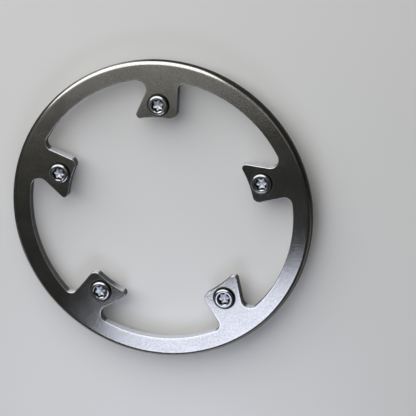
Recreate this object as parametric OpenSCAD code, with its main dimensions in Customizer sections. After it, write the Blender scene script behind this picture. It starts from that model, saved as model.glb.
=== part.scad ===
// Chainring guard: a flat ring with five inward tabs and the five button-head bolts that hold it.
// It lies on its back: +Z is the guard's own axis and points out of the front face.
// The origin is the centre of the bolt circle, on the back face, which seats on the chainring.

/* [Ring] */
// Outside diameter of the ring
ring_d = 133; // [125:0.5:150]
// Thickness of the plate
plate_t = 4.5; // [3:0.1:6]
// Share of the thickness that each rounded edge of the rim takes up
rim_round_share = 0.44; // [0.2:0.01:0.48]
// Width of the band between the rim and the windows
band_w = 8.3; // [6:0.1:10]

/* [Tabs] */
// Diameter of the bolt circle
bolt_circle_d = 94; // [92:0.5:96]
// Length of a tab inward of its bolt
tab_reach = 5.5; // [5:0.1:8]
// Half width of a tab on its clockwise side, at the bolt
tab_cw_w = 8.2; // [7:0.1:10]
// Lean of the clockwise side, away from the tab's centre line outward
tab_cw_lean = 4; // [0:0.5:10]
// Half width of a tab on its flared side, at the bolt
tab_flare_w = 8; // [6.5:0.1:9]
// Lean of the flared side, away from the tab's centre line inward
tab_flare_lean = 25; // [10:1:30]
// Radius between the window arc and a clockwise side
cw_fillet_r = 3.2; // [2:0.1:4]
// Radius between the window arc and a flared side
flare_fillet_r = 3.8; // [2.5:0.1:4.5]
// Corner radius of a tab's end on its clockwise side
cw_corner_r = 2.8; // [1.5:0.1:3.5]
// Corner radius of a tab's end on its flared side
flare_corner_r = 1.8; // [1:0.1:2.5]

/* [Bolts] */
// Thread diameter of a bolt
bolt_d = 6; // [5:0.5:6.5]
// Play between a bolt and its hole, measured on the diameter
bolt_play = 0.4; // [0.3:0.05:0.8]
// How much thinner the plain neck inside the tab is than the thread
neck_drop = 0.6; // [0.3:0.1:0.8]
// Length over which the thread runs out into the neck
runout_len = 0.3; // [0.2:0.1:0.5]
// Length of a bolt under its head
bolt_len = 10; // [8:0.5:16]
// Diameter of a bolt's head
head_d = 9.2; // [8.8:0.1:10]
// Height of a bolt's head
head_h = 1.7; // [1.6:0.1:2.4]
// Height of the upright edge of a head, below its rounding
head_lip_h = 0.5; // [0.4:0.1:0.8]
// Bevel at the tip of a bolt
tip_bevel = 0.5; // [0.3:0.1:0.8]

/* [Drive socket] */
// Size of the six-lobe socket across its lobes
socket_d = 5.6; // [5.2:0.1:5.7]
// Size of the six-lobe socket across its waists
socket_waist_d = 4; // [3.8:0.1:4.2]
// Depth of the socket's wall below the top of the head
socket_depth = 1.3; // [1.1:0.1:1.4]
// Further depth of the socket's hollow floor, at its middle
socket_floor_h = 0.5; // [0.3:0.1:0.8]
// Width of the countersink round the mouth of the socket, outside its lobes
mouth_w = 0.15; // [0.1:0.05:0.3]
// Slope of the countersink, as its depth over its width
mouth_slope = 0.8; // [0.6:0.05:1]

/* [Hidden] */
$fn = 96;
tab_count = 5;
tab_step = 360 / tab_count;
lobe_count = 6;
lobe_step = 360 / lobe_count;
// A cut runs this far past the faces that it opens
over = 1;
// A blend arc is this much larger than its tangent size, so that it crosses the lines it meets
arc_lap = 0.001;
half = 0.5;
ring_r = ring_d / 2;
bolt_circle_r = bolt_circle_d / 2;
rim_round_r = plate_t * rim_round_share;
rim_flat_r = ring_r - rim_round_r;
window_r = ring_r - band_w;
tab_end_r = bolt_circle_r - tab_reach;
hole_d = bolt_d + bolt_play;
neck_d = bolt_d - neck_drop;
head_edge_r = head_h - head_lip_h;
head_top_r = head_d / 2 - head_edge_r;
// The waists of the socket are hollows with this share of its size as radius
waist_hollow_share = 0.21;
waist_hollow_r = socket_d * waist_hollow_share;
// A cone that opens into the socket runs this far past the waists or the floor
past = 0.1;
socket_floor_z = head_h - socket_depth;
mouth_r = socket_d / 2 + mouth_w;
mouth_depth = (mouth_r - socket_waist_d / 2) * mouth_slope + past;

// A tab is drawn for the bolt on +Y. Each side is a straight line through side_point,
// side_run points inward along it and side_out points away from the tab.
// The side is +1 for the clockwise one and -1 for the flared one.
function side_lean(side) = side > 0 ? tab_cw_lean : -tab_flare_lean;
function side_point(side) = [side * (side > 0 ? tab_cw_w : tab_flare_w), bolt_circle_r];
function side_run(side) = [-side * sin(side_lean(side)), -cos(side_lean(side))];
function side_out(side) = [side * cos(side_lean(side)), -sin(side_lean(side))];
function fillet_r(side) = side > 0 ? cw_fillet_r : flare_fillet_r;
function corner_r(side) = side > 0 ? cw_corner_r : flare_corner_r;

// The point at distance r from the axis on the line from p in direction d, on the rim's side
function reach_point(p, d, r) = p + d * (-(p * d) - sqrt(pow(p * d, 2) - p * p + r * r));

// Centre of the arc that blends a side into the window arc, and where that arc starts and ends
function fillet_centre(side) =
    reach_point(side_point(side) + side_out(side) * fillet_r(side), side_run(side), window_r - fillet_r(side));
function fillet_on_side(side) = fillet_centre(side) - side_out(side) * fillet_r(side);
function fillet_on_window(side) = fillet_centre(side) * window_r / norm(fillet_centre(side));

// Centre of the arc that rounds a tab's end, and where that arc starts and ends
function corner_centre(side) =
    reach_point(side_point(side) - side_out(side) * corner_r(side), side_run(side), tab_end_r + corner_r(side));
function corner_on_side(side) = corner_centre(side) + side_out(side) * corner_r(side);
function corner_on_end(side) = corner_centre(side) * tab_end_r / norm(corner_centre(side));

// One tab with its root, from the middle of the band to the tab's end
module tab_outline() {
    root_r = window_r + band_w / 2;
    difference() {
        polygon([
            fillet_on_window(1) * root_r / window_r, fillet_on_window(1), fillet_on_side(1),
            corner_on_side(1), corner_on_end(1), corner_on_end(-1), corner_on_side(-1),
            fillet_on_side(-1), fillet_on_window(-1), fillet_on_window(-1) * root_r / window_r
        ]);
        circle(r = tab_end_r);
        for (side = [1, -1])
            translate(fillet_centre(side)) circle(r = fillet_r(side) + arc_lap);
    }
    for (side = [1, -1])
        translate(corner_centre(side)) circle(r = corner_r(side) + arc_lap);
}

// Half of the ring's section, with both edges of the rim rounded
module rim_section() {
    square([rim_flat_r, plate_t]);
    translate([0, rim_round_r]) square([ring_r, plate_t - 2 * rim_round_r]);
    for (z = [rim_round_r, plate_t - rim_round_r])
        translate([rim_flat_r, z]) circle(r = rim_round_r);
}

module guard_ring() {
    color([0.42, 0.41, 0.39])
    difference() {
        rotate_extrude() rim_section();
        translate([0, 0, -over])
            linear_extrude(plate_t + 2 * over)
                difference() {
                    circle(r = window_r);
                    for (i = [0 : tab_count - 1]) rotate(i * tab_step) tab_outline();
                }
        for (i = [0 : tab_count - 1])
            rotate(i * tab_step)
                translate([0, bolt_circle_r, -over]) cylinder(d = hole_d, h = plate_t + 2 * over);
    }
}

// Six-lobe socket, seen from above
module socket_outline() {
    difference() {
        circle(d = socket_d);
        for (i = [0 : lobe_count - 1])
            rotate((i + half) * lobe_step)
                translate([socket_waist_d / 2 + waist_hollow_r, 0]) circle(r = waist_hollow_r);
    }
}

// Half of a head's section: an upright edge, and a quarter round up to the flat on top
module head_section() {
    square([head_d / 2, head_lip_h]);
    square([head_top_r, head_h]);
    translate([head_top_r, head_lip_h])
        intersection() {
            circle(r = head_edge_r);
            square(head_edge_r);
        }
}

// The hollow of the drive: the socket, its hollow floor and the countersink at its mouth.
// The countersink runs down into the socket until it is narrower than the waists.
module socket() {
    translate([0, 0, socket_floor_z]) linear_extrude(socket_depth + over) socket_outline();
    translate([0, 0, socket_floor_z - socket_floor_h])
        cylinder(d1 = 0, d2 = socket_waist_d - 2 * past, h = socket_floor_h + past);
    translate([0, 0, head_h - mouth_depth])
        cylinder(r1 = mouth_r - mouth_depth / mouth_slope, r2 = mouth_r + over / mouth_slope,
            h = mouth_depth + over);
}

// One bolt with the underside of its head at z = 0 and its shank along -Z.
// Its plain neck is as long as the plate is thick, so that the thread starts at the back face.
module bolt() {
    difference() {
        rotate_extrude() head_section();
        socket();
    }
    translate([0, 0, runout_len - plate_t]) cylinder(d = neck_d, h = plate_t - runout_len);
    translate([0, 0, -plate_t]) cylinder(d1 = bolt_d, d2 = neck_d, h = runout_len);
    translate([0, 0, tip_bevel - bolt_len]) cylinder(d = bolt_d, h = bolt_len - tip_bevel - plate_t);
    translate([0, 0, -bolt_len]) cylinder(d1 = bolt_d - 2 * tip_bevel, d2 = bolt_d, h = tip_bevel);
}

// The bolt through one tab. Tab 0 is on +Y and the others follow anticlockwise, seen from the front.
module bolt_in_tab(i) {
    color([0.78, 0.79, 0.8])
        rotate(i * tab_step) translate([0, bolt_circle_r, plate_t]) bolt();
}

guard_ring();
for (i = [0 : tab_count - 1])
    bolt_in_tab(i);
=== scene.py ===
# %% [markdown]
# # A chainring guard in satin steel
# The guard is a flat steel ring that shields what lies behind it from knocks.
# Five tabs reach inward from it, and a button-head bolt goes through each one.
# The CAD model gives every size and place. It is loaded first and never moved,
# and Blender dresses it: soft edges, real threads and sockets, and worn metal.

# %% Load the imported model
import math

import bpy
import numpy as np
from mathutils import Matrix, Quaternion, Vector
from mathutils.geometry import tessellate_polygon


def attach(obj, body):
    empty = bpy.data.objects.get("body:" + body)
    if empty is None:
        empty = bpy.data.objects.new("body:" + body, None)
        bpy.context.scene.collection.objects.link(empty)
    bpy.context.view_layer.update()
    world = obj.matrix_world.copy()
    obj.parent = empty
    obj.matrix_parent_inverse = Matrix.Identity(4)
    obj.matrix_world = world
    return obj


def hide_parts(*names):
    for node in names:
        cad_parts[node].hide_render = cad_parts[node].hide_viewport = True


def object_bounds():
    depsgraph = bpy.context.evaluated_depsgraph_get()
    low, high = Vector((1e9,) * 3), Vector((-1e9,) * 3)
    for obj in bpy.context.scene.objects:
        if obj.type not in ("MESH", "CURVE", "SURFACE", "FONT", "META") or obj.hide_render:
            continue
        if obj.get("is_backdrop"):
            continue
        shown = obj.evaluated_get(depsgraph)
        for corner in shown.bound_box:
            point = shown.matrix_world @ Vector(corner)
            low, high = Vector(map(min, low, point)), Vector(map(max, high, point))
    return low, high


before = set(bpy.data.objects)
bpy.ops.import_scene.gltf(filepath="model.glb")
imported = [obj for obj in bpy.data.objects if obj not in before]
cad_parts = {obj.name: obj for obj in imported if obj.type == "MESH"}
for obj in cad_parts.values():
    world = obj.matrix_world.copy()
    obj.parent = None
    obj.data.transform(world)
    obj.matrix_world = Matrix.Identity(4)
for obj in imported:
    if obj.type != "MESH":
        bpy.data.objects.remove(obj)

cad_low, cad_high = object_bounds()
print("CAD box in mm:", [round(1000 * v, 2) for v in (*cad_low, *cad_high)])

# %% [markdown]
# ## The camera
# The photograph was taken from far off with a long lens, 22 degrees away from the
# guard's own axis. The camera's place came from fitting the rim's ellipses and the
# five bolts, so it is written as a place and three directions: the image's right,
# the image's up, and the way back to the lens.

# %% Camera
MM = 0.001
IMAGE_RIGHT = (0.97398985, -0.01527077, -0.22607648)
IMAGE_UP = (-0.05131295, 0.95694238, -0.28570659)
TO_LENS = (0.22070512, 0.28987597, 0.93126858)
CAMERA_AT = (305.04, 375.31, 1202.78)
LENS_MM, SENSOR_MM = 259.6, 36.0

lens_data = bpy.data.cameras.new("photo_camera")
lens_data.sensor_width = SENSOR_MM
lens_data.lens = LENS_MM
lens_data.clip_start, lens_data.clip_end = 0.05, 60.0
camera = bpy.data.objects.new("photo_camera", lens_data)
bpy.context.scene.collection.objects.link(camera)
turn = Matrix((IMAGE_RIGHT, IMAGE_UP, TO_LENS)).transposed().to_4x4()
camera.matrix_world = Matrix.Translation(Vector(CAMERA_AT) * MM) @ turn
bpy.context.scene.camera = camera
away = Vector(CAMERA_AT).length
tilt = math.degrees(math.acos(CAMERA_AT[2] / away))
print(f"camera {away * MM:.2f} m away, {tilt:.1f} degrees off the axis")

# %% [markdown]
# ## Writing shader maths as Python
# A finish is a small network of nodes. Two helpers keep it readable. `Signal` wraps
# one output of a node, and its operators add Math nodes, so `1 - wear * 0.5` builds
# its own nodes. `Finish.node` makes any other node from its type, its settings and
# the values or links of its sockets.

# %% Shader helpers
class Signal:
    """One number or vector in a shader, as the output socket of a node."""

    def __init__(self, finish, socket):
        self.finish, self.socket = finish, socket

    def math(self, operation, *values, clamp=False):
        settings = {"operation": operation, "use_clamp": clamp}
        return self.finish.node("ShaderNodeMath", settings, dict(enumerate(values)))

    def __add__(self, other):
        return self.math("ADD", self, other)

    __radd__ = __add__

    def __mul__(self, other):
        return self.math("MULTIPLY", self, other)

    __rmul__ = __mul__

    def __sub__(self, other):
        return self.math("SUBTRACT", self, other)

    def __rsub__(self, other):
        return self.math("SUBTRACT", other, self)

    def between(self, low, high):
        """0 below low, 1 above high, and a smooth rise from one to the other."""
        settings = {"interpolation_type": "SMOOTHSTEP"}
        ends = {"Value": self, "From Min": low, "From Max": high}
        return self.finish.node("ShaderNodeMapRange", settings, ends)


class Finish:
    """The node tree of one material or of the world."""

    def __init__(self, tree):
        self.tree = tree
        tree.nodes.clear()

    def node(self, kind, settings=None, inputs=None, out=0):
        """Adds a node, sets it up, fills its sockets and returns one output."""
        made = self.tree.nodes.new(kind)
        for key, value in (settings or {}).items():
            setattr(made, key, value)
        for key, value in (inputs or {}).items():
            if isinstance(value, Signal):
                self.tree.links.new(value.socket, made.inputs[key])
            else:
                made.inputs[key].default_value = value
        return Signal(self, made.outputs[out]) if made.outputs else None

    def tint(self, share, low, high):
        """Colour low where share is 0 and colour high where it is 1."""
        inputs = {0: share, 6: low, 7: high}
        return self.node("ShaderNodeMix", {"data_type": "RGBA"}, inputs, out=2)

    def place_mm(self):
        """The point's own place on the object, counted in millimetres."""
        here = self.node("ShaderNodeTexCoord", out="Object")
        settings = {"operation": "SCALE"}
        return self.node("ShaderNodeVectorMath", settings, {0: here, "Scale": 1 / MM})

    def noise(self, place, per_mm, detail=2.0, roughness=0.5):
        """Cloudy noise from 0 to 1, with per_mm humps to the millimetre."""
        inputs = {"Vector": place, "Scale": per_mm, "Detail": detail, "Roughness": roughness}
        return self.node("ShaderNodeTexNoise", None, inputs)

    def hairlines(self, place, angle, per_mm, stretch, low, high):
        """Long fine scratches: noise squeezed across one direction, and only its peaks kept."""
        settings = {"vector_type": "POINT"}
        inputs = {"Vector": place, "Rotation": (0.0, 0.0, angle), "Scale": (1 / stretch, 1.0, 1.0)}
        along = self.node("ShaderNodeMapping", settings, inputs)
        return self.noise(along, per_mm, detail=1.0).between(low, high)

    def nearest(self, place, spots):
        """How far place is from the nearest of the spots, in millimetres."""
        settings = {"operation": "DISTANCE"}
        away = [self.node("ShaderNodeVectorMath", settings, {0: place, 1: spot}, out="Value")
                for spot in spots]
        least = away[0]
        for other in away[1:]:
            least = least.math("MINIMUM", least, other)
        return least

    def metal(self, colour, roughness, bump, depth_mm, strength, metallic=1.0):
        """Joins the parts of a metal's finish to one Principled shader and the output."""
        relief = {"Height": bump, "Distance": depth_mm * MM, "Strength": strength}
        normal = self.node("ShaderNodeBump", None, relief)
        shader = self.node("ShaderNodeBsdfPrincipled", None, {
            "Base Color": colour, "Metallic": metallic, "Roughness": roughness, "Normal": normal})
        self.node("ShaderNodeOutputMaterial", None, {"Surface": shader})


def new_material(name):
    """A material with an empty node tree, wrapped as a Finish."""
    made = bpy.data.materials.new(name)
    made.use_nodes = True
    return made, Finish(made.node_tree)


print("shader helpers ready")

# %% [markdown]
# ## Satin steel for the guard
# The guard was tumbled, which leaves a soft grain about half a millimetre wide,
# faint clouds, and a few hairline scratches. The colour is one warm grey, and the
# clouds and the grain move it a little. Three values are painted on the mesh.
# `edge_wear` is highest on the rounded edges, which are rubbed brighter and
# smoother, and fades out a little way onto the flats. `cut_wall` is 1 on the walls
# of the windows and the holes, which are pale and matt as they were cut.
# The third is painted shade. It darkens the rim's outer edge and the window walls
# that face away from the top, and a ring of it darkens the plate round each bolt.

# %% Guard finish
STEEL_DARK = (0.35, 0.345, 0.315, 1.0)
STEEL_LIGHT = (0.55, 0.54, 0.51, 1.0)
STEEL_RUBBED = (0.72, 0.72, 0.71, 1.0)
STEEL_CUT = (0.73, 0.75, 0.81, 1.0)
# Colour of the painted shade
STEEL_SHADED = (0.035, 0.033, 0.028, 1.0)
STEEL_ROUGHNESS = 0.17
CUT_ROUGHNESS = 0.35
GRAIN_PER_MM, SPECKLE_PER_MM, CLOUD_PER_MM = 1.7, 1.1, 0.075
TAB_COUNT = 5
TAB_TURNS = [2 * math.pi * i / TAB_COUNT for i in range(TAB_COUNT)]
BOLT_CIRCLE_R = 47.0
HEAD_H = 1.7
PLATE_T = 1000 * cad_high.z - HEAD_H
SEATS = [(-BOLT_CIRCLE_R * math.sin(a), BOLT_CIRCLE_R * math.cos(a), PLATE_T) for a in TAB_TURNS]
# The painted shade round a bolt's foot is full out to the first distance and gone at the second
SEAT_SHADE = (4.8, 5.3)

satin_steel, f = new_material("satin_steel")
here = f.place_mm()
grain = f.noise(here, GRAIN_PER_MM, detail=3.0, roughness=0.6)
speckle = f.noise(here, SPECKLE_PER_MM, detail=3.0, roughness=0.65)
cloud = f.noise(here, CLOUD_PER_MM, detail=4.0, roughness=0.55)
scratch = f.hairlines(here, angle=0.6, per_mm=2.6, stretch=26.0, low=0.66, high=0.74)
scratch_two = f.hairlines(here, angle=-1.1, per_mm=2.2, stretch=34.0, low=0.67, high=0.75)
wear = f.node("ShaderNodeAttribute", {"attribute_name": "edge_wear"}, out="Fac")
cut = f.node("ShaderNodeAttribute", {"attribute_name": "cut_wall"}, out="Fac")
film = f.node("ShaderNodeAttribute", {"attribute_name": "chain_film"}, out="Fac")
# A ring of painted shade darkens the plate round each bolt's foot
seat_shade = 1 - f.nearest(here, SEATS).between(*SEAT_SHADE)
rubbed = wear * (0.55 + 0.9 * speckle)
# Painted shade: the painted value on the mesh and the ring round each bolt, made patchy by the speckle
plate_shading = (film + seat_shade).math("MULTIPLY", film + seat_shade, 0.8 + 0.4 * speckle, clamp=True)
tone = 0.4 * cloud.between(0.3, 0.7) + 0.4 * speckle.between(0.3, 0.7) + 1.3 * (grain - 0.43)
colour = f.tint(rubbed.between(0.0, 1.0), f.tint(tone, STEEL_DARK, STEEL_LIGHT), STEEL_RUBBED)
colour = f.tint(plate_shading, f.tint(cut, colour, STEEL_CUT), STEEL_SHADED)
rough = STEEL_ROUGHNESS + 0.08 * (cloud - 0.5) + 0.10 * (grain - 0.5) - 0.06 * rubbed
rough = rough + CUT_ROUGHNESS * cut + 0.3 * plate_shading
relief = grain + 0.35 * speckle - 0.08 * (scratch + scratch_two)
f.metal(colour, rough, relief, depth_mm=0.046, strength=0.4, metallic=1 - 0.4 * cut)
print("satin steel:", len(satin_steel.node_tree.nodes), "nodes")

# %% [markdown]
# ## Polished steel for the bolts
# The bolts are smoother. Two values are painted on their mesh. `shade` is 1 where
# shade is painted dark: at the foot of the head and low on its rounding, along the
# foot of the socket's wall, inside the socket and in the roots of the thread. `pressed`
# is 1 on the socket's floor, which the punch leaves pale and matt.

# %% Bolt finish
BOLT_BRIGHT = (0.55, 0.56, 0.575, 1.0)
BOLT_DULL = (0.41, 0.415, 0.425, 1.0)
BOLT_PRESSED = (0.69, 0.73, 0.79, 1.0)
# Colour of the painted shade
BOLT_SHADED = (0.02, 0.019, 0.018, 1.0)

polished_steel, f = new_material("polished_steel")
here = f.place_mm()
film = f.noise(here, 0.55, detail=3.0, roughness=0.6)
fine = f.noise(here, 6.0, detail=2.0)
shade = f.node("ShaderNodeAttribute", {"attribute_name": "shade"}, out="Fac")
pressed = f.node("ShaderNodeAttribute", {"attribute_name": "pressed"}, out="Fac")
# Painted shade where the shade value is high, made patchy by the cloudy noise
bolt_shading = (shade * (0.6 + 0.8 * film)).between(0.1, 0.8)
colour = f.tint(film.between(0.35, 0.7), BOLT_BRIGHT, BOLT_DULL)
colour = f.tint(bolt_shading, f.tint(pressed, colour, BOLT_PRESSED), BOLT_SHADED)
rough = 0.11 + 0.10 * film.between(0.4, 0.75) + 0.04 * fine + 0.25 * pressed + 0.15 * bolt_shading
f.metal(colour, rough, fine + 0.6 * film, depth_mm=0.01, strength=0.2)
print("polished steel:", len(polished_steel.node_tree.nodes), "nodes")

# %% [markdown]
# ## One way to round any edge of the plate
# A plate is an outline with a thickness. Its walls are the outline carried down
# through the plate, and where a wall meets a flat there is a small quarter round.
# So every edge here is the same surface: a path in the plane, and a section that
# turns from the front flat, over the wall, to the back flat. The outward normal is
# known at each point, so the flats shade truly flat and the rounds truly round.

# %% Edge surfaces
ROUND_STEPS = 7
# How far onto a flat the painted wear ends, how it grows toward the middle of a round, and its least share
WEAR_REACH, WEAR_POWER, WEAR_LEAST = 0.9, 0.8, 0.5
# Painted shade sets in where the surface leans this many degrees off the flat, and is full after so many
# more
SHADE_FROM, SHADE_FADE = 42.0, 14.0


def edge_surface(path, outward, radius, wear, rough_wall=1.0, film=0.0, shade_from=SHADE_FROM,
                 steps=ROUND_STEPS):
    """The wall of the plate along a closed path, with both its edges rounded.

    At turn a from 0 to 180 degrees the point is the path's point moved into the
    metal by radius * (1 - sin a). Its height is the plate's front less
    radius * (1 - cos a) for the first quarter, and radius * (1 + cos a) for the last.
    The normal is outward * sin a + up * cos a. A row on each flat, WEAR_REACH further
    into the metal, is where the painted wear ends. Three values are painted: wear
    times the size of sin 2a to the power WEAR_POWER, but at least times WEAR_LEAST,
    rough_wall times the square of sin a, and the share of painted shade, which sets in
    where the surface leans the given number of degrees off the flat.
    """
    quarter = np.linspace(0.0, np.pi / 2, steps)
    turn = np.concatenate([[0.0], quarter, np.pi / 2 + quarter, [np.pi]])
    depth = radius * (1 - np.sin(turn))
    depth[[0, -1]] += WEAR_REACH
    height = np.where(np.arange(turn.size) <= steps,
                      PLATE_T - radius * (1 - np.cos(turn)), radius * (1 + np.cos(turn)))
    flat = path[None, :, :] - outward[None, :, :] * depth[:, None, None]
    points = np.dstack([flat, np.broadcast_to(height[:, None], flat.shape[:2])])
    lean = outward[None, :, :] * np.sin(turn)[:, None, None]
    normals = np.dstack([lean, np.broadcast_to(np.cos(turn)[:, None], flat.shape[:2])])
    rub = wear * np.maximum(np.abs(np.sin(2 * turn)) ** WEAR_POWER, WEAR_LEAST)
    rub[[0, -1]] = 0.0
    cut = rough_wall * np.sin(turn) ** 2
    low = np.degrees(np.minimum(turn, np.pi - turn))
    # Painted shade, from where the surface leans far enough off the flat
    upright = np.clip((low[:, None] - shade_from) / SHADE_FADE, 0.0, 1.0)
    painted = [np.broadcast_to(values[:, None], flat.shape[:2]) for values in (rub, cut)]
    painted.append(upright * np.broadcast_to(film, flat.shape[1]))
    return points, normals, painted


def ring_quads(rows, columns, start=0):
    """Corner numbers of the quads of a grid whose columns close into a ring."""
    row, column = np.meshgrid(np.arange(rows - 1), np.arange(columns), indexing="ij")
    beside = (column + 1) % columns
    corners = [row * columns + column, row * columns + beside,
               (row + 1) * columns + beside, (row + 1) * columns + column]
    return start + np.stack(corners, axis=-1).reshape(-1, 4)


def facing_out(points, normals, faces):
    """The faces, turned over where they look against the normals of their corners."""
    a, b, c = (points[faces[:, i]] for i in range(3))
    against = np.einsum("ij,ij->i", np.cross(b - a, c - a), normals[faces].sum(axis=1)) < 0
    faces = faces.copy()
    faces[against] = faces[against][:, ::-1]
    return faces


print("plate thickness from the CAD box:", round(PLATE_T, 3), "mm")

# %% [markdown]
# ## The outlines of the guard
# The rim is a circle. The inner outline is the part that takes care: round each
# tab it runs along the window's arc, turns into the tab through a fillet, follows
# one nearly straight side, rounds a corner onto the tab's end, and comes back up
# the other side, which leans the other way and makes the tab flare to one side.

# %% Sizes of the guard
RIM_R, RIM_ROUND, BAND_W = 66.5, 1.98, 8.3
TAB_REACH = 5.5
WINDOW_R, TAB_END_R = RIM_R - BAND_W, BOLT_CIRCLE_R - TAB_REACH
TAB_HALF = {1: 8.2, -1: 8.0}
TAB_LEAN = {1: math.radians(4), -1: math.radians(-25)}
FILLET_R = {1: 3.2, -1: 3.8}
CORNER_R = {1: 2.8, -1: 1.8}
EDGE_BREAK = 0.3
HOLE_R = 3.2
print("windows reach out to", WINDOW_R, "mm and tabs in to", TAB_END_R, "mm")


# %% Arcs and the points where they meet
def on_arc(centre, radius, start, stop, count, side):
    """Points centre + radius * (cos, sin) of the angle, with normals to one side."""
    angle = np.linspace(start, stop, count, endpoint=False)
    ray = np.column_stack([np.cos(angle), np.sin(angle)])
    return np.asarray(centre) + radius * ray, side * ray


def on_line(start, stop, outward, count):
    """Points start + t * (stop - start) of a straight side."""
    t = np.linspace(0.0, 1.0, count, endpoint=False)[:, None]
    return start + t * (stop - start), np.broadcast_to(outward, (count, 2))


def slide_to(point, along, radius):
    """Where the line through point reaches that distance from the axis, on the rim's side."""
    p = point @ along
    return point + along * (-p - math.sqrt(p * p - point @ point + radius * radius))


def direction(vector):
    """The angle of a vector in the plane."""
    return math.atan2(vector[1], vector[0])


def down_to(start, stop):
    """The angle stop, lowered by whole turns until it lies below start."""
    return start - (start - stop) % (2 * math.pi)


def up_to(start, stop):
    """The angle stop, raised by whole turns until it lies above start."""
    return start + (stop - start) % (2 * math.pi)


print("down to half a turn from 0:", round(math.degrees(down_to(0.0, math.pi))), "degrees")


# %% One tab's share of the inner outline
WINDOW_POINTS, FILLET_POINTS, SIDE_POINTS, CORNER_POINTS, END_POINTS = 30, 14, 6, 12, 12


def tab_side(side):
    """Direction out of a side, and the centres of its fillet and of its corner.

    The side is 1 for the clockwise one and -1 for the flared one.
    """
    lean = TAB_LEAN[side]
    foot = np.array([side * TAB_HALF[side], BOLT_CIRCLE_R])
    along = np.array([-side * math.sin(lean), -math.cos(lean)])
    out = np.array([side * math.cos(lean), -math.sin(lean)])
    fillet = slide_to(foot + out * FILLET_R[side], along, WINDOW_R - FILLET_R[side])
    corner = slide_to(foot - out * CORNER_R[side], along, TAB_END_R + CORNER_R[side])
    return out, fillet, corner


def tab_outline():
    """Window arc, fillet, side, corner, end, corner, side and fillet, anticlockwise."""
    (out_a, fillet_a, corner_a), (out_b, fillet_b, corner_b) = tab_side(1), tab_side(-1)
    step = 2 * math.pi / TAB_COUNT
    axis = np.zeros(2)
    runs = [
        on_arc(axis, WINDOW_R, direction(fillet_b) - step, direction(fillet_a), WINDOW_POINTS, -1),
        on_arc(fillet_a, FILLET_R[1], direction(fillet_a),
               up_to(direction(fillet_a), direction(-out_a)), FILLET_POINTS, -1),
        on_line(fillet_a - out_a * FILLET_R[1], corner_a + out_a * CORNER_R[1], out_a, SIDE_POINTS),
        on_arc(corner_a, CORNER_R[1], direction(out_a),
               down_to(direction(out_a), direction(-corner_a)), CORNER_POINTS, 1),
        on_arc(axis, TAB_END_R, direction(corner_a), direction(corner_b), END_POINTS, -1),
        on_arc(corner_b, CORNER_R[-1], direction(-corner_b),
               down_to(direction(-corner_b), direction(out_b)), CORNER_POINTS, 1),
        on_line(corner_b + out_b * CORNER_R[-1], fillet_b - out_b * FILLET_R[-1], out_b, SIDE_POINTS),
        on_arc(fillet_b, FILLET_R[-1], direction(-out_b),
               up_to(direction(-out_b), direction(fillet_b)), FILLET_POINTS, -1),
    ]
    return tuple(np.concatenate(parts) for parts in zip(*runs))


def turned(vectors, angle):
    """The same vectors turned anticlockwise about the axis."""
    c, s = math.cos(angle), math.sin(angle)
    return vectors @ np.array([[c, s], [-s, c]])


one_path, one_out = tab_outline()
inner_path = np.concatenate([turned(one_path, a) for a in TAB_TURNS])
inner_out = np.concatenate([turned(one_out, a) for a in TAB_TURNS])
print("inner outline:", len(inner_path), "points")

# %% [markdown]
# ## Joining the guard
# The rim, the inner outline and the five holes are edge surfaces. The front and
# back flats are filled between the first and the last rows of all of them, so the
# plate is one closed skin with shared corners, and its normals are given.
# Painted shade darkens the outer edge of the rim, but only thinly round the top.
# On both sides of the top it comes higher up the rounding. It also darkens the
# window walls, apart from those that face the guard's top.


# %% Mesh helpers
# Cubic centimetres in a cubic metre
CUBIC_CM = 1e6


def make_mesh(name, points, faces, normals=None, **painted):
    """A mesh object from points in millimetres, with its painted point values."""
    mesh = bpy.data.meshes.new(name)
    mesh.from_pydata((points * MM).tolist(), [], [list(map(int, face)) for face in faces])
    mesh.polygons.foreach_set("use_smooth", [True] * len(mesh.polygons))
    for key, values in painted.items():
        layer = mesh.attributes.new(key, "FLOAT", "POINT")
        layer.data.foreach_set("value", np.asarray(values, np.float32))
    mesh.update()
    if normals is not None:
        mesh.normals_split_custom_set_from_vertices(normals.tolist())
    made = bpy.data.objects.new(name, mesh)
    bpy.context.scene.collection.objects.link(made)
    return made


def volume_of(made):
    """Volume inside a closed mesh, in cubic centimetres: a sixth of the sum of a . (b x c)."""
    made.data.calc_loop_triangles()
    corner = np.zeros(len(made.data.vertices) * 3)
    made.data.vertices.foreach_get("co", corner)
    corner = corner.reshape(-1, 3)
    tri = np.zeros(len(made.data.loop_triangles) * 3, np.int32)
    made.data.loop_triangles.foreach_get("vertices", tri)
    a, b, c = (corner[tri.reshape(-1, 3)[:, i]] for i in range(3))
    return CUBIC_CM * float(np.einsum("ij,ij->i", a, np.cross(b, c)).sum()) / 6


print("mesh helpers ready")


# %% Build the guard
def circle_path(centre, radius, count, side):
    """A full circle, anticlockwise, with its normals away from the centre or toward it."""
    return on_arc(centre, radius, 0.0, 2 * math.pi, count, side)


RIM_POINTS, RIM_STEPS, HOLE_POINTS = 540, 14, 64
# The rim stays this far inside the CAD model's size
RIM_INSET = 0.02
RIM_WEAR, EDGE_WEAR = 0.45, 1.0
# Middle of the stretch round the top where the painted shade is thin, in degrees from +X, where its fade
# ends, and its share of painted shade
THIN_SHADE_TURN, THIN_SHADE_REACH, THIN_SHADE = 112.0, 20.0, 0.3
# Middle of the stretch with low painted shade, where higher painted shade starts and ends on both sides,
# and its rise
LOW_TURN, HIGH_START, HIGH_END, HIGH_RISE = 102.0, 28.0, 105.0, 26.0
START_FADE, END_FADE = 12.0, 20.0
# Share of painted shade on the window walls, which darkens the walls that face away from the guard's top.
# It starts to fade where the Y of a wall's normal reaches the second value, and is gone the third further
# on.
WALL_SHADE, UNSHADED_FACING, FACING_FADE = 0.9, 0.84, 0.08

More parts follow.
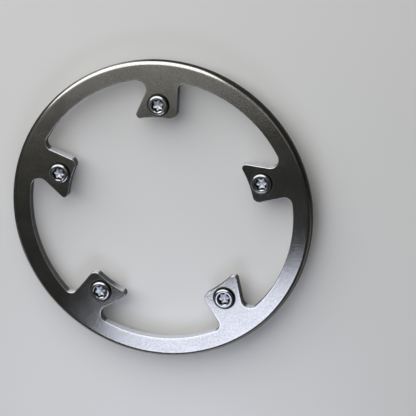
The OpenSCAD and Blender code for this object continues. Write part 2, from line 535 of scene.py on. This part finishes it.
rim_path, rim_out = circle_path(np.zeros(2), RIM_R - RIM_INSET, RIM_POINTS, 1)
rim_turn = np.linspace(0.0, 360.0, RIM_POINTS, endpoint=False)
# The rim's share of painted shade, thin round the top
rim_shade = np.clip(np.abs(rim_turn - THIN_SHADE_TURN) / THIN_SHADE_REACH, THIN_SHADE, 1.0)
apart = np.abs((rim_turn - LOW_TURN + 180.0) % 360.0 - 180.0)
high = np.minimum((apart - HIGH_START) / START_FADE, (HIGH_END - apart) / END_FADE)
rim_shade_from = SHADE_FROM - HIGH_RISE * np.clip(high, 0.0, 1.0)
# Painted shade on the window walls that face away from the guard's top
wall_shade = WALL_SHADE * (1 - np.clip((inner_out[:, 1] - UNSHADED_FACING) / FACING_FADE, 0.0, 1.0))
edges = [edge_surface(rim_path, rim_out, RIM_ROUND, RIM_WEAR, rough_wall=0.0, film=rim_shade,
                      shade_from=rim_shade_from, steps=RIM_STEPS),
         edge_surface(inner_path, inner_out, EDGE_BREAK, EDGE_WEAR, film=wall_shade)]
for a in TAB_TURNS:
    middle = turned(np.array([[0.0, BOLT_CIRCLE_R]]), a)[0]
    hole_path, hole_out = circle_path(middle, HOLE_R, HOLE_POINTS, -1)
    edges.append(edge_surface(hole_path, hole_out, EDGE_BREAK, EDGE_WEAR))

points, normals, painted, quads, front_loops, back_loops = [], [], [], [], [], []
start = 0
for grid, grid_normals, grid_painted in edges:
    rows, columns = grid.shape[:2]
    quads.append(ring_quads(rows, columns, start))
    front_loops.append(start + np.arange(columns))
    back_loops.append(start + (rows - 1) * columns + np.arange(columns))
    points.append(grid.reshape(-1, 3))
    normals.append(grid_normals.reshape(-1, 3))
    painted.append([values.reshape(-1) for values in grid_painted])
    start += rows * columns
points, normals = np.concatenate(points), np.concatenate(normals)
edge_wear, cut_wall, chain_film = np.concatenate(painted, axis=1)
quads = facing_out(points, normals, np.concatenate(quads))


def fill_flat(loops):
    """Triangles that fill the flat between a loop and the loops inside it."""
    order = np.concatenate(loops)
    found = tessellate_polygon([[Vector(points[i]) for i in loop] for loop in loops])
    return facing_out(points, normals, order[np.array(found)])


flats = [fill_flat(front_loops), fill_flat(back_loops)]
guard = make_mesh("guard_plate", points, [*quads, *flats[0], *flats[1]], normals,
                  edge_wear=edge_wear, cut_wall=cut_wall, chain_film=chain_film)
guard.data.materials.append(satin_steel)
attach(guard, "root")
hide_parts("guard_ring")
print(f"guard: {len(guard.data.polygons)} faces, {volume_of(guard):.2f} cubic cm")

# %% [markdown]
# ## The bolts
# A bolt is nearly a turned part, so its surface is a section carried round its
# axis: from the middle of the socket's floor, up the socket's wall, over its
# countersink, the flat and the rounding, under the head, down the neck, along the
# thread and in to the tip.
# Two things break the roundness. The socket's radius swells and dips six times on
# the way round, and the thread's radius depends on height and angle together.

# %% Sizes of a bolt
HEAD_R, HEAD_LIP, HEAD_EDGE, HEAD_STEPS = 4.6, 0.5, 1.2, 13
MOUTH_R, MOUTH_SLOPE = 2.95, 0.8
LOBES, SOCKET_R, SOCKET_WAIST_R = 6, 2.8, 2.0
# The waists are hollows with this share of the socket's size as radius, blended softly into the lobes
HOLLOW_SHARE, LOBE_SOFTNESS = 0.21, 0.05
SOCKET_DEPTH, SOCKET_CONE = 1.3, 0.5
SHANK_R, NECK_R, BOLT_LEN, RUNOUT, TIP_BEVEL = 3.0, 2.7, 10.0, 0.3, 0.5
THREAD_PITCH, THREAD_DEPTH, THREAD_ROW = 1.0, 0.55, 0.08
# Steepness of a groove's slopes, and the depth that its crest takes off them
GROOVE_SLOPE, CREST = 2.9, 0.18
# A groove starts this far past the plate's back, and fades in and out over these lengths
FADE_START, FADE_IN, FADE_OUT = 0.1, 0.8, 0.5
# Points round a bolt, and how each bolt's socket happened to stop, in degrees
AROUND = 96
SOCKET_TURN = [10.0, 50.0, 40.0, -4.0, 12.0]
# An edge that turns by more than this is shaded sharp
SHARP_FROM = math.radians(38)
print("a head is", 2 * HEAD_R, "mm across and", HEAD_H, "mm high")


# %% Socket outline and thread
def socket_radius(angle):
    """The six-lobe outline: a circle, cut where six round hollows reach into it.

    In a waist the radius is d cos t - sqrt(h^2 - d^2 sin^2 t), the near side of a
    hollow of radius h at distance d, with t from the waist's middle. The smaller of
    that and the lobe's radius is taken, softened where they meet.
    """
    hollow = 2 * SOCKET_R * HOLLOW_SHARE
    far = SOCKET_WAIST_R + hollow
    t = (angle + math.pi / LOBES) % (2 * math.pi / LOBES) - math.pi / LOBES
    inside = hollow**2 - (far * np.sin(t)) ** 2
    waist = far * np.cos(t) - np.sqrt(np.maximum(inside, 0.0))
    return -LOBE_SOFTNESS * np.log(np.exp(-waist / LOBE_SOFTNESS) + np.exp(-SOCKET_R / LOBE_SOFTNESS))


def thread_radius(depth, angle):
    """Shank radius less a groove that winds down one pitch in each turn.

    The phase is depth / pitch + angle / turn. A groove has a narrow crest, two slopes
    and a rounded root, and fades in below the neck and out at the tip.
    """
    phase = (depth / THREAD_PITCH + angle / (2 * math.pi)) % 1.0
    groove = np.clip((0.5 - np.abs(phase - 0.5)) * GROOVE_SLOPE - CREST, 0.0, 1.0)
    groove = groove * groove * (3 - 2 * groove)
    start = np.clip((depth - PLATE_T - FADE_START) / FADE_IN, 0.0, 1.0)
    stop = np.clip((BOLT_LEN - TIP_BEVEL - depth) / FADE_OUT, 0.0, 1.0)
    return SHANK_R - THREAD_DEPTH * groove * start * stop, groove * start


lobes = socket_radius(np.linspace(0.0, 2 * math.pi, AROUND, endpoint=False))
print(f"socket radius from {lobes.min():.2f} to {lobes.max():.2f} mm")


# %% A bolt's surface
def bolt_grid(socket_turn):
    """Radius, height, shade and pressed, over section rows and angles round the axis.

    Each row of the section is a radius, a height above the plate and a painted shade,
    from the socket's floor outward and down to the tip. The countersink's height is the
    head's less MOUTH_SLOPE times the way in from MOUTH_R, and the rounding of the head
    is HEAD_EDGE * (sin, cos) of its turn, with painted shade toward the foot.
    """
    angle = np.linspace(0.0, 2 * math.pi, AROUND, endpoint=False)
    socket = socket_radius(angle + math.radians(socket_turn))
    even = np.ones(AROUND)
    floor = HEAD_H - SOCKET_DEPTH
    brim = HEAD_H - MOUTH_SLOPE * (MOUTH_R - socket)
    # The hollow floor of the socket, with painted shade at its outer edge
    rows = [(share * socket, floor - SOCKET_CONE * (1 - share), 0.0) for share in (0.3, 0.6, 0.78)]
    rows.append((0.9 * socket, floor - 0.1 * SOCKET_CONE, 0.9))
    floor_rows = len(rows)
    # Its wall, with painted shade
    rows += [(0.97 * socket, floor + 0.02, 1.0), (socket, floor + 0.12, 1.0),
             (socket, 0.5 * (floor + brim), 1.0), (socket, brim - 0.08, 0.9),
             (socket + 0.02, brim - 0.01, 0.9)]
    # The countersink round its mouth, with painted shade on its inner part
    for share, dark in ((0.45, 0.9), (0.65, 0.0), (0.93, 0.0)):
        rows.append((socket + share * (MOUTH_R - socket), brim + share * (HEAD_H - brim), dark))
    rows += [(MOUTH_R * even, HEAD_H - 0.01, 0.0), ((MOUTH_R + 0.05) * even, HEAD_H, 0.0)]
    # The rounding of the head, with painted shade toward its foot
    for turn in np.linspace(0.0, np.pi / 2, HEAD_STEPS):
        dark = float(np.clip(4.2 * turn - 2.9, 0.0, 1.0))
        rows.append(((HEAD_R - HEAD_EDGE * (1 - math.sin(turn))) * even,
                     HEAD_LIP + HEAD_EDGE * math.cos(turn), dark))
    # The foot of the head, its underside and the neck, with painted shade
    rows += [(HEAD_R * even, 0.12, 1.0), ((HEAD_R - 0.03) * even, 0.04, 1.0),
             ((HEAD_R - 0.1) * even, 0.0, 1.0), ((NECK_R + 0.15) * even, 0.0, 0.8),
             (NECK_R * even, -0.12, 0.8), (NECK_R * even, RUNOUT - PLATE_T, 0.6),
             (SHANK_R * even, -PLATE_T, 0.2)]
    # The thread, with painted shade in the roots of its grooves
    for depth in np.arange(PLATE_T + THREAD_ROW, BOLT_LEN - TIP_BEVEL, THREAD_ROW):
        radius, groove = thread_radius(depth, angle)
        rows.append((radius, -depth, 0.75 * groove))
    # The bevel at the tip
    rows += [(SHANK_R * even, TIP_BEVEL - BOLT_LEN, 0.1),
             ((SHANK_R - TIP_BEVEL) * even, -BOLT_LEN, 0.1), (1.0 * even, -BOLT_LEN, 0.2)]
    radius = np.array([row[0] for row in rows])
    height = np.array([row[1] * even for row in rows])
    shade = np.array([row[2] * even for row in rows])
    pressed = np.zeros(radius.shape)
    pressed[:floor_rows] = 1.0
    return angle, radius, height, shade, pressed


def make_bolt(number):
    """Turns the grid into a closed mesh, with a middle point at each pole, in its tab."""
    angle, radius, height, shade, pressed = bolt_grid(SOCKET_TURN[number])
    points = np.dstack([radius * np.cos(angle), radius * np.sin(angle), height])
    rows, columns = radius.shape
    points = points.reshape(-1, 3)
    poles = np.array([[0.0, 0.0, HEAD_H - SOCKET_DEPTH - SOCKET_CONE], [0.0, 0.0, -BOLT_LEN]])
    top, tip = len(points), len(points) + 1
    points = np.concatenate([points, poles])
    ring = np.arange(columns)
    beside = (ring + 1) % columns
    last = (rows - 1) * columns
    faces = [*ring_quads(rows, columns)[:, ::-1],
             *np.column_stack([np.full(columns, top), ring, beside]),
             *np.column_stack([np.full(columns, tip), last + beside, last + ring])]
    points[:, 1] += BOLT_CIRCLE_R
    points[:, 2] += PLATE_T
    points[:, :2] = turned(points[:, :2], TAB_TURNS[number])
    bolt = make_mesh(f"button_bolt_{number + 1}", points, faces,
                     shade=np.append(shade.reshape(-1), [0.0, 0.2]),
                     pressed=np.append(pressed.reshape(-1), [1.0, 0.0]))
    bolt.data.set_sharp_from_angle(angle=SHARP_FROM)
    bolt.data.materials.append(polished_steel)
    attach(bolt, "root")
    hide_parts(f"bolt_{number + 1}")
    return bolt


bolts = [make_bolt(number) for number in range(TAB_COUNT)]
print(f"{len(bolts)} bolts, each {len(bolts[0].data.polygons)} faces and "
      f"{volume_of(bolts[0]):.3f} cubic cm")

# %% [markdown]
# ## Finishes for the CAD nodes
# The CAD nodes stay in the file behind their dressed pieces. They carry the same
# finishes, so that they look right wherever they are shown.

# %% Dress the CAD nodes
for name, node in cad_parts.items():
    node.data.materials.clear()
    node.data.materials.append(satin_steel if name == "guard_ring" else polished_steel)
print("dressed:", sorted(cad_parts))

# %% [markdown]
# ## The floor and the light
# The guard lies on a plain pale floor, on the tips of its bolts. Steel shows what
# it reflects, so the light is a few soft boxes. A very large one stands far behind
# the guard's top. It lights the floor and makes the bright line on the rounded rim.
# Three small ones hang above the guard and give the flat its slow change of tone:
# a near one makes the bottom a cool silver, a wide dim one makes the top grey, and a
# faint one lifts the dark left side. The world is a plain grey that is lighter at
# the horizon than overhead, and lightest toward the guard's top.

# %% Floor
FLOOR_Z = 1000 * cad_low.z
FLOOR_POINTS = 64
FLOOR_PALE, FLOOR_PALEST = (0.84, 0.835, 0.825, 1.0), (0.87, 0.865, 0.855, 1.0)
reach = np.array([60.0, 200.0, 600.0, 2000.0, 6000.0])
around = np.linspace(0.0, 2 * math.pi, FLOOR_POINTS, endpoint=False)
disc = np.dstack([np.outer(reach, np.cos(around)), np.outer(reach, np.sin(around)),
                  np.full((reach.size, around.size), FLOOR_Z)]).reshape(-1, 3)
disc = np.concatenate([disc, [[0.0, 0.0, FLOOR_Z]]])
ring = np.arange(FLOOR_POINTS)
spokes = np.column_stack([np.full(FLOOR_POINTS, len(disc) - 1), ring, (ring + 1) % FLOOR_POINTS])
floor = make_mesh("floor", disc, [*ring_quads(reach.size, FLOOR_POINTS)[:, ::-1], *spokes])
floor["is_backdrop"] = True

pale_floor, f = new_material("pale_floor")
drift = f.noise(f.place_mm(), 0.01, detail=2.0)
colour = f.tint(drift, FLOOR_PALE, FLOOR_PALEST)
shader = f.node("ShaderNodeBsdfPrincipled", None, {
    "Base Color": colour, "Roughness": 0.9, "Specular IOR Level": 0.1})
f.node("ShaderNodeOutputMaterial", None, {"Surface": shader})
floor.data.materials.append(pale_floor)
print("floor at", round(FLOOR_Z, 2), "mm")


# %% Soft boxes
def soft_box(name, place, aim, size, radiance, tint=(1.0, 1.0, 1.0), spin=0.0):
    """A rectangular lamp at place, in millimetres, that faces aim and is spun in its plane.

    Its power is radiance * pi * width * height, so radiance 1 is as bright as white.
    """
    data = bpy.data.lights.new(name, "AREA")
    data.shape = "RECTANGLE"
    data.size, data.size_y = size[0] * MM, size[1] * MM
    data.energy = radiance * math.pi * data.size * data.size_y
    data.color = tint
    lamp = bpy.data.objects.new(name, data)
    bpy.context.scene.collection.objects.link(lamp)
    away = Vector(place) - Vector(aim)
    lamp.rotation_mode = "QUATERNION"
    own_turn = Quaternion((0.0, 0.0, 1.0), math.radians(spin))
    lamp.rotation_quaternion = away.to_track_quat("Z", "Y") @ own_turn
    lamp.location = Vector(place) * MM
    lamp.visible_camera = False
    return lamp


# Name, place, aim, size, radiance, tint and spin of each lamp
soft_box("sky_panel", (-332, 625, 574), (-1, -21, -2), (1178, 1402), 1.95, (0.98, 0.99, 1.0), 35)
soft_box("face_box_low", (-1, -132, 150), (-1, -132, 0), (112, 97), 2.2, (0.77, 0.81, 1.0), 18)
soft_box("face_box_top", (-66, 39, 270), (-66, 39, 0), (310, 124), 0.34, (1.0, 0.985, 0.96))
soft_box("face_box_left", (-145, -46, 270), (-145, -46, 0), (170, 50), 0.045, (1.0, 0.99, 0.92))

# %% World
HORIZON, NORTH_GLOW, OVERHEAD = 0.15, 0.45, 0.03

world = bpy.data.worlds.new("studio")
world.use_nodes = True
bpy.context.scene.world = world
f = Finish(world.node_tree)
facing = f.node("ShaderNodeTexCoord", out="Generated")
parts = f.node("ShaderNodeSeparateXYZ", None, {0: facing})
north, up = (Signal(f, parts.socket.node.outputs[axis]) for axis in "YZ")
high_up = up.between(0.1, 0.7)
horizon = HORIZON + NORTH_GLOW * north.between(0.0, 0.9)
level = horizon * (1 - high_up) + OVERHEAD * high_up
colour = f.tint(level, (0.0, 0.0, 0.0, 1.0), (1.0, 1.0, 0.93, 1.0))
sky = f.node("ShaderNodeBackground", None, {"Color": colour, "Strength": 1.0})
f.node("ShaderNodeOutputWorld", None, {"Surface": sky})
bpy.context.scene.view_settings.view_transform = "Standard"
print("world:", len(world.node_tree.nodes), "nodes")

# %% Sizes and finish
low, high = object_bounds()
print("visual box in mm:", [round(1000 * v, 2) for v in (*low, *high)])
